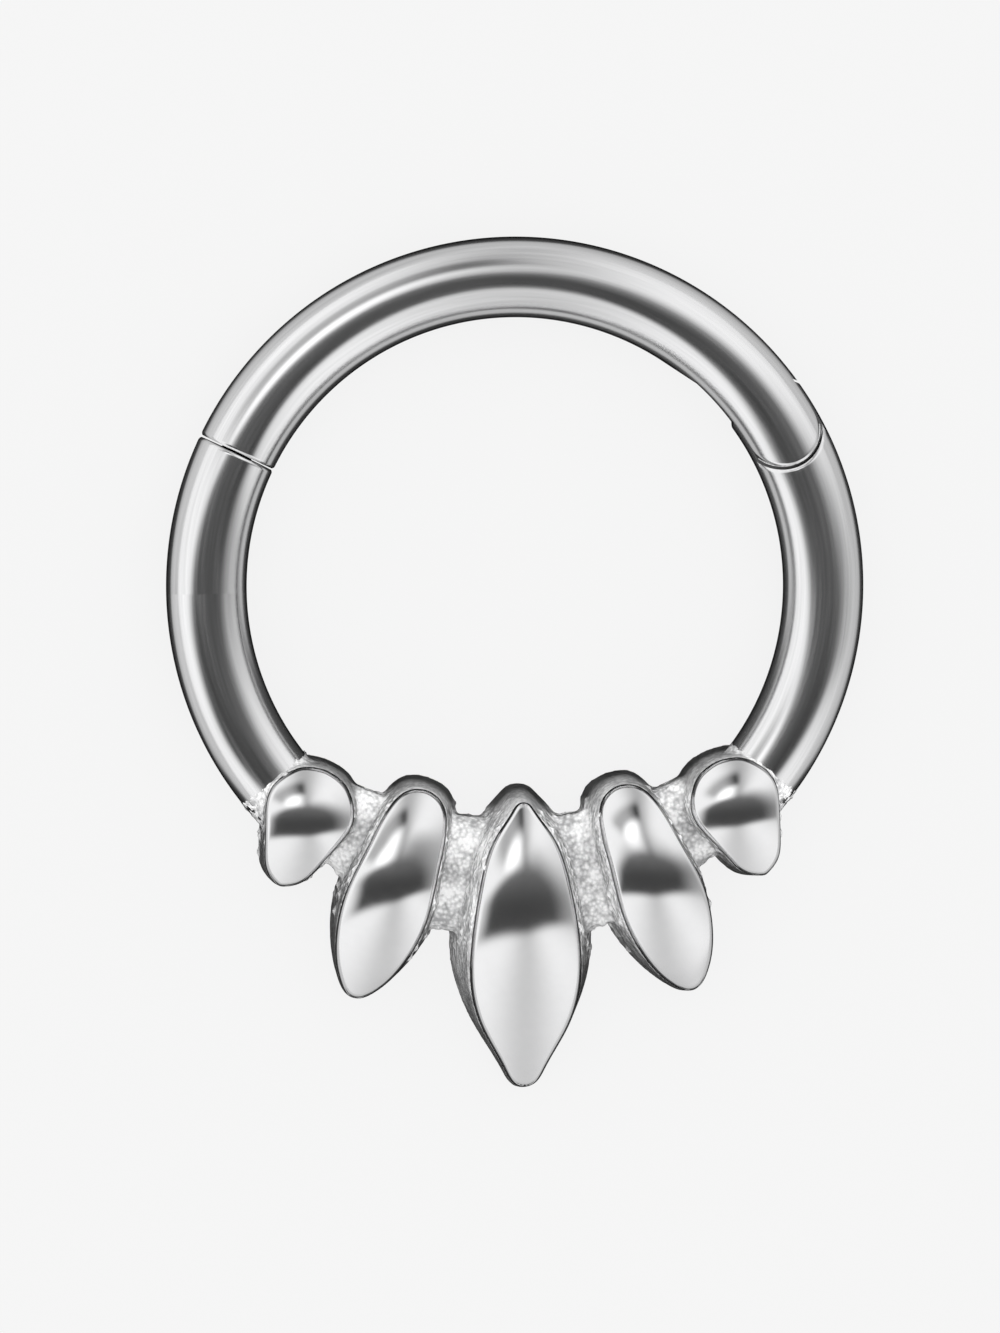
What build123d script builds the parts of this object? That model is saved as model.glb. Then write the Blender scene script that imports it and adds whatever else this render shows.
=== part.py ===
from build123d import *
from collections import namedtuple
from math import atan2, cos, degrees, radians, sin, sqrt
import os

os.makedirs("parts", exist_ok=True)

# Lengths are millimetres and angles are degrees, counted from +X towards +Y.
# The hoop lies on its back: its plane is parallel to XY, its axis is Z, and the
# lowest point of everything is z = 0.

# Hoop
WIRE = 1.2  # wire diameter
BORE = 8.0  # clear diameter of the round part of the hoop

# Hinge on the right, click closure on the left
HINGE_AT = 30.0  # where the pin crosses the wire
CLOSURE_AT = 153.2  # where the two flat wire ends face each other
CLOSURE_GAP = 0.03  # between the two flat wire ends
FORK_EYE = 0.59  # radius of the round fork end about the pin
SEAT_CLEARANCE = 0.045  # between the round fork end and its seat
TONGUE = 0.46  # thickness of the tongue between the fork cheeks
TONGUE_CLEARANCE = 0.02  # on each side of the tongue
TONGUE_REACH = 0.70  # radius of the tongue's end about the pin
SLOT_REACH = 0.73  # radius of the slot's end about the pin
KNEE_AT = 43.5  # where the slot's run-out on the bore side turns shallow
KNEE_DEPTH = 0.10  # how deep the run-out is there
RUNOUT_AT = 55.0  # where the run-out ends on the bore side
PIN = 0.40  # pin diameter
PIN_FIT = 0.01  # radial clearance of the pin in the fork
PIN_PLAY = 0.03  # radial clearance of the pin in the tongue
PIN_COVER = 0.15  # metal left over the pin's blind end

# Click stud in the closure
STUD = 0.50  # diameter
STUD_FLANK = 58.0  # steepest lean of its domed head away from the stud's axis
STUD_ROOT = 0.35  # length let into the wire
STUD_FIT = 0.01  # clearance of the root in the wire
STUD_CLEARANCE = 0.02  # around the domed head in its recess

# Seeds: five polished crowns, each on cast flanks that stand on a flat back.
# top_x and rise place the upper end of a foot, rise being its height over the lowest point
# of the hoop's centre line, and lean turns its tip away from the middle; the foot is the
# outline at the back, the edge the narrower one at the crown.
# setback and lip are how far the edge lies inside the foot at the upper end and the tip,
# and shift is how far the edge and the crown lean over to the outer side.
Seed = namedtuple(
    "Seed", "top_x rise lean length height edge_half foot_half setback lip shift"
)
SEEDS = {
    "centre": Seed(0.00, 1.63, 0.0, 4.58, 2.10, 0.73, 1.10, 0.25, 0.26, 0.00),
    "middle": Seed(1.31, 1.74, 20.5, 3.50, 1.95, 0.60, 0.80, 0.20, 0.14, 0.08),
    "outer": Seed(2.84, 2.05, 22.5, 2.03, 1.75, 0.63, 0.78, 0.14, 0.10, 0.04),
}
LENS = 2.0  # radius of a crown across the seed, as a share of edge_half
CROWN_REACH = 1.2  # half width of a crown's sections, as a share of foot_half
EDGE_ABOVE = 1.05  # height of the edge outline, as a share of a seed's height
END_PULL = 0.30  # how broadly an outline rounds its ends

# Half widths along a seed as shares of edge_half and foot_half; along is the share
# of the outline's own length, from the upper end to the tip.
Station = namedtuple("Station", "along edge foot")
STATIONS = {
    "centre": (
        Station(0.03, 0.20, 0.25),
        Station(0.12, 0.53, 0.56),
        Station(0.30, 0.86, 0.84),
        Station(0.55, 1.00, 0.97),
        Station(0.80, 0.80, 0.63),
        Station(0.94, 0.38, 0.29),
    ),
    "middle": (
        Station(0.03, 0.40, 0.47),
        Station(0.12, 0.69, 0.71),
        Station(0.30, 0.87, 0.87),
        Station(0.55, 1.00, 1.00),
        Station(0.80, 0.80, 0.74),
        Station(0.94, 0.45, 0.38),
    ),
    "outer": (
        Station(0.03, 0.40, 0.45),
        Station(0.12, 0.74, 0.76),
        Station(0.30, 1.00, 1.00),
        Station(0.55, 0.86, 0.83),
        Station(0.80, 0.58, 0.60),
        Station(0.94, 0.32, 0.36),
    ),
}

# Crown along a seed: height of its crest as a share of the seed's height, and spread,
# which widens or narrows its round section. The first and last rows lie just outside
# the foot, so that the crown covers all of it.
Crest = namedtuple("Crest", "along height spread")
CRESTS = {
    "centre": (
        Crest(-0.02, 0.77, 0.50),
        Crest(0.10, 0.895, 0.55),
        Crest(0.22, 0.975, 0.70),
        Crest(0.335, 1.00, 0.88),
        Crest(0.46, 0.968, 1.00),
        Crest(0.72, 0.71, 0.95),
        Crest(1.02, 0.215, 0.80),
    ),
    "middle": (
        Crest(-0.02, 0.68, 0.65),
        Crest(0.12, 0.865, 0.72),
        Crest(0.28, 0.968, 0.86),
        Crest(0.42, 1.00, 1.00),
        Crest(0.56, 0.962, 1.00),
        Crest(0.80, 0.74, 0.90),
        Crest(1.02, 0.40, 0.80),
    ),
    "outer": (
        Crest(-0.02, 0.76, 0.70),
        Crest(0.12, 0.89, 0.80),
        Crest(0.28, 0.98, 0.95),
        Crest(0.44, 1.00, 1.00),
        Crest(0.60, 0.965, 1.00),
        Crest(0.82, 0.83, 0.90),
        Crest(1.02, 0.64, 0.80),
    ),
}

# Cast web between the seeds: its upper and lower edge are arcs across the Y axis
WEB_HEIGHT = 0.84
WEB_UPPER_RISE = 1.12  # where the upper edge crosses the Y axis, over the hoop's lowest point
WEB_LOWER_DROP = 0.68  # where the lower edge crosses it, below that point
WEB_ROUND = 0.12  # rounding of its front corners

# What ends on the axes of the outer seeds, at these shares of their length
WEB_UPPER_END = 0.07
WIRE_END = 0.36
WEB_LOWER_END = 0.56

# Derived places
wire_r = WIRE / 2
hoop_r = (BORE + WIRE) / 2
seat_r = FORK_EYE + SEAT_CLEARANCE
slot_width = TONGUE + 2 * TONGUE_CLEARANCE
half_gap = degrees(CLOSURE_GAP / 2 / hoop_r)
eye_span = degrees(2 * WIRE / hoop_r)


def radial_plane(angle):
    """Upright plane through the hoop's axis: its X runs outward, its Y runs up."""
    turn = radians(angle)
    return Plane((0, 0, 0), x_dir=(cos(turn), sin(turn), 0), z_dir=(sin(turn), -cos(turn), 0))


def hoop_point(angle, radius):
    """X and Y of a point at an angle of the hoop and a distance from its axis."""
    return (radius * cos(radians(angle)), radius * sin(radians(angle)))


def outer_axis_point(share, side):
    """X and Y of a point on the axis of an outer seed, at a share of its length; side 1 is right."""
    outer = SEEDS["outer"]
    run, lean = share * outer.length, radians(outer.lean)
    return (side * (outer.top_x + run * sin(lean)), outer.rise - hoop_r - run * cos(lean))


def wire_arc(start, end):
    """Bent round wire from one angle of the hoop to another."""
    with BuildPart() as arc:
        with BuildSketch(radial_plane(start)):
            with Locations((hoop_r, wire_r)):
                Circle(wire_r)
        revolve(axis=Axis.Z, revolution_arc=end - start)
    return arc.part


def right_outline(half_width, length, shares):
    """Right half of a seed outline, its upper end at 0, 0 and its tip on -Y, closed."""
    points = [(half_width * width, -length * along) for along, width in shares]
    pull = END_PULL * length
    Spline((0, 0), *points, (0, -length), tangents=[(1, 0), (-1, 0)], tangent_scalars=[pull, pull])
    Line((0, -length), (0, 0))


def seed(kind, side):
    """One seed with the upper end of its foot at 0, 0 and its tip towards -Y."""
    size, stations = SEEDS[kind], STATIONS[kind]
    middle = side * size.shift
    edge_length = size.length - size.setback - size.lip
    edge_shares = [(row.along, row.edge) for row in stations]
    foot_shares = [(row.along, row.foot) for row in stations]
    with BuildPart() as crown:
        for row in CRESTS[kind]:
            half = row.spread * CROWN_REACH * size.foot_half
            lens = row.spread * LENS * size.edge_half
            sag = lens - sqrt(lens**2 - half**2)
            top = row.height * size.height
            rim, floor = top - sag, -size.height
            left, right = middle - half, middle + half
            with BuildSketch(Plane.XZ.offset(row.along * size.length)):
                with BuildLine():
                    ThreePointArc((left, rim), (middle, top), (right, rim))
                    Polyline((right, rim), (right, floor), (left, floor), (left, rim))
                make_face()
        loft()
    with BuildPart() as whole:
        with BuildSketch(Plane.XY):
            with BuildLine():
                right_outline(size.foot_half, size.length, foot_shares)
            make_face()
            mirror(about=Plane.YZ)
        with BuildSketch(Plane((middle, -size.setback, EDGE_ABOVE * size.height))):
            with BuildLine():
                right_outline(size.edge_half, edge_length, edge_shares)
            make_face()
            mirror(about=Plane.YZ)
        loft()
        add(crown.part, mode=Mode.INTERSECT)
    return whole.part


pin_place = hoop_point(HINGE_AT, hoop_r)
slot_runout = (
    pin_place,
    (
        pin_place[0] - SLOT_REACH * sin(radians(HINGE_AT)),
        pin_place[1] + SLOT_REACH * cos(radians(HINGE_AT)),
    ),
    hoop_point(KNEE_AT, BORE / 2 + KNEE_DEPTH),
    hoop_point(RUNOUT_AT, BORE / 2),
    hoop_point(RUNOUT_AT, BORE / 4),
    hoop_point(HINGE_AT, BORE / 4),
)

# Round end of the fork, about the pin
with BuildPart() as fork_eye:
    add(wire_arc(HINGE_AT - eye_span, HINGE_AT + half_gap))
    with BuildSketch(Plane.XY.offset(wire_r)):
        with Locations(pin_place):
            Circle(FORK_EYE)
    extrude(amount=WIRE, both=True, mode=Mode.INTERSECT)

# Tongue: a slice of the wire that runs past the pin
with BuildPart() as tongue:
    add(wire_arc(HINGE_AT - eye_span, HINGE_AT + eye_span))
    with BuildSketch(Plane.XY.offset(wire_r - TONGUE / 2)):
        with Locations(Location((*pin_place, 0), (0, 0, HINGE_AT - 90))):
            Circle(TONGUE_REACH)
            Rectangle(2 * WIRE, 2 * WIRE, align=(Align.MIN, Align.CENTER))
    extrude(amount=TONGUE, mode=Mode.INTERSECT)

# Hinge pin, flush with the back of the wire
with BuildPart() as hinge_pin:
    add(wire_arc(HINGE_AT - eye_span, HINGE_AT + eye_span))
    with BuildSketch(Plane.XY.offset(WIRE - PIN_COVER - PIN_FIT)):
        with Locations(pin_place):
            Circle(PIN / 2)
    extrude(amount=-2 * WIRE, mode=Mode.INTERSECT)

# Hinged segment: fork, pin hole and the recess for the click stud
stud_sphere = STUD / 2 / sin(radians(STUD_FLANK))
closure_plane = radial_plane(CLOSURE_AT + half_gap)
stud_centre = closure_plane.from_local_coords(
    Vector(hoop_r, wire_r, -stud_sphere * cos(radians(STUD_FLANK)))
)
with BuildPart() as hinge_segment:
    add(wire_arc(HINGE_AT, CLOSURE_AT - half_gap))
    add(fork_eye.part)
    with BuildSketch(Plane.XY.offset(wire_r - slot_width / 2)):
        with Locations(pin_place):
            Circle(SLOT_REACH)
        with BuildLine():
            Polyline(*slot_runout, close=True)
        make_face()
    extrude(amount=slot_width, mode=Mode.SUBTRACT)
    with BuildSketch(Plane.XY.offset(WIRE - PIN_COVER)):
        with Locations(pin_place):
            Circle(PIN / 2 + PIN_FIT)
    extrude(amount=-2 * WIRE, mode=Mode.SUBTRACT)
    with Locations(stud_centre):
        Sphere(stud_sphere + STUD_CLEARANCE, mode=Mode.SUBTRACT)

# Click stud: a short peg with a domed head
with BuildPart() as click_stud:
    with Locations(stud_centre):
        Sphere(stud_sphere)
    with BuildSketch(closure_plane) as stud_end:
        with Locations((hoop_r, wire_r)):
            Circle(STUD / 2)
    extrude(amount=stud_sphere, mode=Mode.INTERSECT)
    extrude(stud_end.sketch, amount=-STUD_ROOT)

# Ring body: two wire arcs, web and five seeds in one casting
upper_left, upper_right = [outer_axis_point(WEB_UPPER_END, side) for side in (-1, 1)]
lower_left, lower_right = [outer_axis_point(WEB_LOWER_END, side) for side in (-1, 1)]
wire_end_x, wire_end_y = outer_axis_point(WIRE_END, 1)
wire_end = degrees(atan2(wire_end_y, wire_end_x))
with BuildPart() as ring_body:
    with BuildSketch(Plane.XY):
        with BuildLine():
            ThreePointArc(upper_left, (0, WEB_UPPER_RISE - hoop_r), upper_right)
            Line(upper_right, lower_right)
            ThreePointArc(lower_right, (0, -WEB_LOWER_DROP - hoop_r), lower_left)
            Line(lower_left, upper_left)
        make_face()
    extrude(amount=WEB_HEIGHT)
    fillet(ring_body.edges().filter_by(GeomType.CIRCLE).group_by(Axis.Z)[-1], WEB_ROUND)
    for kind, size in SEEDS.items():
        for side in (1, -1) if size.top_x else (1,):
            place = (side * size.top_x, size.rise - hoop_r, 0)
            with Locations(Location(place, (0, 0, side * size.lean))):
                add(seed(kind, side))
    add(wire_arc(wire_end, HINGE_AT))
    add(wire_arc(CLOSURE_AT + half_gap, 180 - wire_end))
    with BuildSketch(Plane.XY.offset(wire_r)):
        with Locations(pin_place):
            Circle(seat_r)
    extrude(amount=WIRE, both=True, mode=Mode.SUBTRACT)
    add(tongue.part)
    with BuildSketch(Plane.XY.offset(wire_r)):
        with Locations(pin_place):
            Circle(PIN / 2 + PIN_PLAY)
    extrude(amount=WIRE, both=True, mode=Mode.SUBTRACT)
    with BuildSketch(closure_plane):
        with Locations((hoop_r, wire_r)):
            Circle(STUD / 2 + STUD_FIT)
    extrude(amount=-STUD_ROOT - STUD_FIT, mode=Mode.SUBTRACT)

ring_body.part.label = "ring_body"
hinge_segment.part.label = "hinge_segment"
hinge_pin.part.label = "hinge_pin"
click_stud.part.label = "click_stud"

export_step(ring_body.part, "parts/ring_body.step")
export_step(hinge_segment.part, "parts/hinge_segment.step")
export_step(hinge_pin.part, "parts/hinge_pin.step")
export_step(click_stud.part, "parts/click_stud.step")
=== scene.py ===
import math
from collections import namedtuple

import bmesh
import bpy
import numpy as np
from mathutils import Euler, Matrix, Vector, noise


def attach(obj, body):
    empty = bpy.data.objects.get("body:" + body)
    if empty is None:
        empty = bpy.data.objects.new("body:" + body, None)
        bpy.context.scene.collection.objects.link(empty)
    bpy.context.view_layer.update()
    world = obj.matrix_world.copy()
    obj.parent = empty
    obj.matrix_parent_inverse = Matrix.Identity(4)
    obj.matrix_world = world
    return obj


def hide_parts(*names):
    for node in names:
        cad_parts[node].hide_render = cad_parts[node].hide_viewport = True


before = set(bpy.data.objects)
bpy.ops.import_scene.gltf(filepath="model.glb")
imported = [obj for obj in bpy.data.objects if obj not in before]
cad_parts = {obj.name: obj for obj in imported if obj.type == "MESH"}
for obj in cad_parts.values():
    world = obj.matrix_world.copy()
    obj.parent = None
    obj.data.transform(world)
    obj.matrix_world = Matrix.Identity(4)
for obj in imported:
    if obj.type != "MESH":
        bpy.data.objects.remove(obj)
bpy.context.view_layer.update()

# Shapes are worked out in millimetres and put into the scene in metres. The frame is
# the solid's: the hoop's axis is Z, +X is the hinge side, +Y the top of the hoop.
MM = 0.001
# Least size of what is divided by or of which a root is taken
LEAST = 0.01

# Hoop, hinge and closure
WIRE = 1.2
HOOP = 4.6
HINGE_AT = 30.0
CLOSURE_AT = 153.2
CLOSURE_GAP = 0.03
FORK_EYE = 0.59
SEAT = 0.635
TONGUE = 0.46
TONGUE_REACH = 0.70
SLOT = 0.50
SLOT_REACH = 0.73
KNEE_AT, KNEE_DEPTH = 43.5, 0.10
RUNOUT_AT = 55.0
PIN, PIN_TOP, PIN_COVER = 0.40, 1.04, 0.15
FORK_HOLE, TONGUE_HOLE = 0.42, 0.46
STUD, STUD_FLANK, STUD_ROOT, STUD_CHAMFER = 0.50, 58.0, 0.35, 0.02
STUD_CLEARANCE, SOCKET_CLEARANCE, SOCKET_MOUTH = 0.02, 0.01, 0.2
WIRE_END = -42.0

# Angles where a wire starts or ends inside a cut, and where its rows lie close together for
# the eased edge of a seam
SEGMENT_START, HINGE_SIDE_END = 19.0, 42.0
FINE_FORK, FINE_SEAT, FINE_CLOSURE = (22.0, 30.0), (21.5, 29.5), 1.2

# Cutters: their reach below, above and beside the wire, past the joint, into the bore, and
# over a face that they share
CUT_LOW, CUT_HIGH, CUT_SIDE, CUT_PAST, CUT_BORE, CUT_OVER = -0.5, 1.7, 1.2, 2.0, 2.0, 0.001

# Pin's rounded ends: share of its radius, and how far the end is drawn back there
PIN_LOWER_END = ((0.01, 0.0), (0.25, 0.0), (0.50, 0.0), (0.70, 0.0), (0.85, 0.0), (0.95, 0.005),
                 (1.0, 0.015))
PIN_UPPER_END = ((1.0, 0.02), (0.95, 0.005), (0.85, 0.0))

# Seeds: half widths are those of the crown's edge and of the foot at the back. Setback and lip
# are how far the edge lies inside the foot at the upper end and at the tip. Shift is how far
# the edge and the crown lean outward.
Seed = namedtuple("Seed", "top_x top_y lean length height edge_half foot_half setback lip shift")
SEEDS = {
    "centre": Seed(0.00, -2.97, 0.0, 4.58, 2.10, 0.73, 1.10, 0.25, 0.26, 0.00),
    "middle": Seed(1.31, -2.86, 20.5, 3.50, 1.95, 0.60, 0.80, 0.20, 0.14, 0.08),
    "outer": Seed(2.84, -2.55, 22.5, 2.03, 1.75, 0.63, 0.78, 0.14, 0.10, 0.04),
}
# Kind and side of each seed, 1 being right
EACH_SEED = (("centre", 1), ("middle", 1), ("middle", -1), ("outer", 1), ("outer", -1))
# Half widths along a seed: share of the length, share at the crown's edge, at the foot
STATIONS = {
    "centre": ((0.03, 0.20, 0.25), (0.12, 0.53, 0.56), (0.30, 0.86, 0.84),
               (0.55, 1.00, 0.97), (0.80, 0.80, 0.63), (0.94, 0.38, 0.29)),
    "middle": ((0.03, 0.40, 0.47), (0.12, 0.69, 0.71), (0.30, 0.87, 0.87),
               (0.55, 1.00, 1.00), (0.80, 0.80, 0.74), (0.94, 0.45, 0.38)),
    "outer": ((0.03, 0.40, 0.45), (0.12, 0.74, 0.76), (0.30, 1.00, 1.00),
              (0.55, 0.86, 0.83), (0.80, 0.58, 0.60), (0.94, 0.32, 0.36)),
}
# Crown along a seed: share of the length, share of the seed's height, and spread, which
# widens or narrows the crown's round section
CRESTS = {
    "centre": ((-0.02, 0.77, 0.50), (0.10, 0.895, 0.55), (0.22, 0.975, 0.70), (0.335, 1.00, 0.88),
               (0.46, 0.968, 1.00), (0.72, 0.71, 0.95), (1.02, 0.215, 0.80)),
    "middle": ((-0.02, 0.68, 0.65), (0.12, 0.865, 0.72), (0.28, 0.968, 0.86), (0.42, 1.00, 1.00),
               (0.56, 0.962, 1.00), (0.80, 0.74, 0.90), (1.02, 0.40, 0.80)),
    "outer": ((-0.02, 0.76, 0.70), (0.12, 0.89, 0.80), (0.28, 0.98, 0.95), (0.44, 1.00, 1.00),
              (0.60, 0.965, 1.00), (0.82, 0.83, 0.90), (1.02, 0.64, 0.80)),
}
# Radius of the crown's round section as a share of the edge's half width, how full the ends of
# an outline are, height of the edge as a share of the crown's, and steps that find the rim
LENS, END_PULL, EDGE_ABOVE, RIM_STEPS = 2.0, 0.30, 1.05, 60

# Web between the seeds: its edges are arcs, level past WEB_ARC_REACH from the middle, and its
# front falls off towards them
WEB_HEIGHT, WEB_EDGE_SHARE, WEB_CREST_SHARE, WEB_FALL = 0.84, 0.70, 0.30, 0.35
WEB_UPPER_RADIUS, WEB_UPPER_MIDDLE = 5.55, -3.48
WEB_LOWER_RADIUS, WEB_LOWER_MIDDLE = 4.04, -5.28
WEB_HALF_WIDTH, WEB_ARC_REACH = 3.05, math.sqrt(12.0)
WEB_ROWS, WEB_COLUMNS = 90, 24

# Round meshes: sides of the wire, of small turned parts and of the wire's stubs, spacing of
# rows along the wire, degrees between a ball's rows, the last of them on the stud, and the
# least radius at a pole
SIDES, TURNED_SIDES, STUB_SIDES, STUB_ROWS = 128, 64, 48, 16
ROW, FINE_ROW, BALL_STEP, STUD_LAST, POLE = 0.05, 0.008, 4, 56, 0.002

# Width of a seam's eased edge, the share of the wire's radius from which a point is on its
# surface, the slack that keeps the tongue out of it, how far the stubs stand over the wire,
# and how far apart points are merged
RIM, SURFACE, CHEEK_SLACK, STUB_OVER, MERGE = 0.05, 0.9, 0.01, 0.005, 0.0005

# Polished crown: rows and columns, rounding of its rim, and a skirt below it that tucks into
# the cast flank, as depth under the rim and distance drawn in
CROWN_ROWS, CROWN_COLUMNS = 150, 44
CROWN_RIM = 0.06
SKIRT = ((0.03, 0.0), (0.06, 0.012), (0.12, 0.05), (0.20, 0.10))

# Cast core: how far it lies below and inside the crown, its rim's rounding, how far its flank
# starts below the rim, and the flank's rows
CORE_BELOW, CORE_INSIDE, CORE_RIM, CORE_DROP, CORE_LEVELS = 0.05, 0.015, 0.05, 0.10, 10

# Cast skin: beads strewn over it, the voxels that melt it together, and its lumps, which are
# calmer on the lower flanks and on the seeds' upper ends
BEADS_PER_MM2, SMALLEST_BEAD, LARGEST_BEAD, BEAD_SEED = 16.0, 0.02, 0.055, 7
VOXEL = 0.034
LUMP_LIFT, LUMP_FINENESS, LUMP_FALL, LUMP_STEP, LUMP_LAYERS = 0.014, 9.0, 0.8, 2.1, 3
LOWER_LUMPS, END_CALM = 0.15, 0.8
ROUGH_FADE = 0.7

# Upper ends that stand clear of the web: how far above its edge they start and over which
# distance, and from where outward that is lower, and how much
END_START, END_FADE = 0.02, 0.2
OUTER_FROM, OUTER_LOWER = 2.3, 0.35

# Tone of the casting: lower flanks are dimmer, and the upper ends close to the back get painted shade
LOWER_FLANK_DIM, LOWER_FLANK_START, LOWER_FLANK_FADE = 0.30, 0.25, 0.5
CAP_PAINTED_SHADE, CAP_LIGHT_ABOVE, CAP_FADE = 0.88, 1.0, 0.6

# Finish of the casting: bare metal, bump and roughness, the same on its smooth upper ends,
# fineness of its marks and grain, the painted shade of its outline where it is seen at a slant, and how much
# colour is left there
CAST_BARE, CAST_BUMP, CAST_ROUGH = 0.15, 0.9, (0.30, 0.50)
END_BARE, END_BUMP, END_ROUGH = 0.3, 0.08, 0.3
CAST_MARKS, CAST_GRAINS = 2500.0, 17000.0
SLANT_SHADE, SLANT_SHADE_TONE, END_SLANT_SHADE_TONE = (0.72, 0.97), 0.08, 0.5
CAST_DARK, CAST_LIGHT, CAST_EDGE_TINT = (0.40, 0.40, 0.405), (1.0, 1.0, 1.0), 0.30
MARK_DEPTH, GRAIN_DEPTH = 0.000004, 0.00002

# Camera: it looks down at a point near the seeds, a little from the upper left
CAMERA_DISTANCE, VIEW_HEIGHT, SENSOR = 0.150, 0.01986, 36.0
CAMERA_SLANT, CAMERA_ROLL = 3.0, -1.1
SIGHT = (-0.00025, -0.001196, 0.0006)

# Floor: glow seen by the camera, glow that the metal mirrors, and that in the painted shadow beside the ring.
# The painted shadow, which only the metal mirrors, is wider outside the wire where the hoop runs straight up
# or across.
FLOOR_SIZE, FLOOR_DROP, FLOOR_TINT = 2.0, 0.002, 0.04
FLOOR_GLOW, FLOOR_GLOW_MIRRORED, FLOOR_GLOW_IN_SHADOW = 0.849, 0.62, 0.03
SHADE_INSIDE, SHADE_OUTSIDE, SHADE_SOFT, SHADE_TURN = 1.6, (0.9, 1.5), 0.6, 0.1
SEEDS_MIDDLE, SEEDS_HALF_WIDTH, SEEDS_HALF_HEIGHT, SEEDS_SHADE = -4.6, 3.9, 3.1, (1.25, 1.6)

# Light by direction: x and y of a ray's way, counted from SIGHT_SHIFT off straight up. A dip
# is how much darker a wall is and how narrowly. Other pairs are where a change starts and
# ends, or its levels there.
SIGHT_SHIFT, HORIZON = 0.05, 0.1
WALL_LIGHT, FILL_LIGHT = 1.14, 1.9
EAST_DIP, NORTH_DIP, SOUTH_DIP = (0.50, 8.0), (0.58, 20.0), (0.40, 10.0)
GLOW_LIGHT, GLOW_X, GLOW_Y, GLOW_AXIS = 0.6, 0.31, 0.43, (0.86, 0.51)
GLOW_LENGTH, GLOW_WIDTH, GLOW_CORE = 0.36, 0.18, 0.2
RING_DIP, RING_INNER, RING_OUTER, RING_UP = 0.62, (0.56, 0.72), (0.80, 0.97), 0.2
RING_LEFT, RING_RIGHT = (-0.95, -0.80), (-0.15, 0.10)
OPENING_LIGHT, OPENING_LIGHT_UP, OPENING_BRIGHTENS = 0.065, 0.20, (-0.2, 0.45)
OPENING_LOW, OPENING_SLOPE, OPENING_BEND, OPENING_ROUND, OPENING_SHARP = 0.49, -0.11, -0.17, 0.2, 0.07
OPENING_SIDE, OPENING_BASE, OPENING_WIDENS = 0.80, 0.1, (-0.35, 0.45)
OPENING_UP_LEFT, OPENING_UP_RIGHT = 0.38, 0.52
OPENING_SOFT, OPENING_SOFTENS = (0.16, 0.38), (-0.3, 0.3)

wire_r = WIRE / 2
bore_r = HOOP - wire_r
pin_r = PIN / 2
pin_x = HOOP * math.cos(math.radians(HINGE_AT))
pin_y = HOOP * math.sin(math.radians(HINGE_AT))
half_gap = math.degrees(CLOSURE_GAP / 2 / HOOP)
body_end = CLOSURE_AT + half_gap
segment_end = CLOSURE_AT - half_gap
stud_sphere = STUD / 2 / math.sin(math.radians(STUD_FLANK))
stud_back = stud_sphere * math.cos(math.radians(STUD_FLANK))


def new_object(name, data):
    """A new object in the scene."""
    made = bpy.data.objects.new(name, data)
    bpy.context.collection.objects.link(made)
    return made


# Camera

slant = math.tan(math.radians(CAMERA_SLANT))
back = Vector((-slant, slant, 1.0)).normalized()
right = Vector((0, 1, 0)).cross(back).normalized()
level = Matrix((right, back.cross(right), back)).transposed().to_quaternion()
camera_data = bpy.data.cameras.new("camera")
camera_data.sensor_width = SENSOR
camera_data.lens = SENSOR * CAMERA_DISTANCE / VIEW_HEIGHT
camera_data.clip_start, camera_data.clip_end = 0.001, 2.0
camera = new_object("camera", camera_data)
camera.location = Vector(SIGHT) + back * CAMERA_DISTANCE
camera.rotation_mode = "QUATERNION"
camera.rotation_quaternion = level @ Euler((0, 0, math.radians(CAMERA_ROLL))).to_quaternion()
bpy.context.scene.camera = camera


# Node trees

class Number:
    """A number in a node tree: arithmetic with it adds the nodes that work it out."""

    def __init__(self, sheet, socket):
        self.sheet, self.socket = sheet, socket

    def __add__(self, other):
        return self.sheet.maths("ADD", self, other)

    def __sub__(self, other):
        return self.sheet.maths("SUBTRACT", self, other)

    def __rsub__(self, other):
        return self.sheet.maths("SUBTRACT", other, self)

    def __mul__(self, other):
        return self.sheet.maths("MULTIPLY", self, other)

    def __truediv__(self, other):
        return self.sheet.maths("DIVIDE", self, other)

    def __pow__(self, other):
        return self.sheet.maths("POWER", self, other)

    def __abs__(self):
        return self.sheet.maths("ABSOLUTE", self)

    def at_least(self, least):
        """The greater of two numbers."""
        return self.sheet.maths("MAXIMUM", self, least)

    def ramp(self, low, high, at_low=0.0, at_high=1.0, kind="SMOOTHSTEP"):
        """A step from one level to another while this number runs from low to high."""
        made = self.sheet.node("ShaderNodeMapRange", interpolation_type=kind, Value=self, From_Min=low,
                               From_Max=high, To_Min=at_low, To_Max=at_high)
        return Number(self.sheet, made.outputs["Result"])


def hypot(a, b):
    """Length of the way a across and b along, as a number in a node tree."""
    return a.sheet.maths("SQRT", a * a + b * b)


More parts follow.
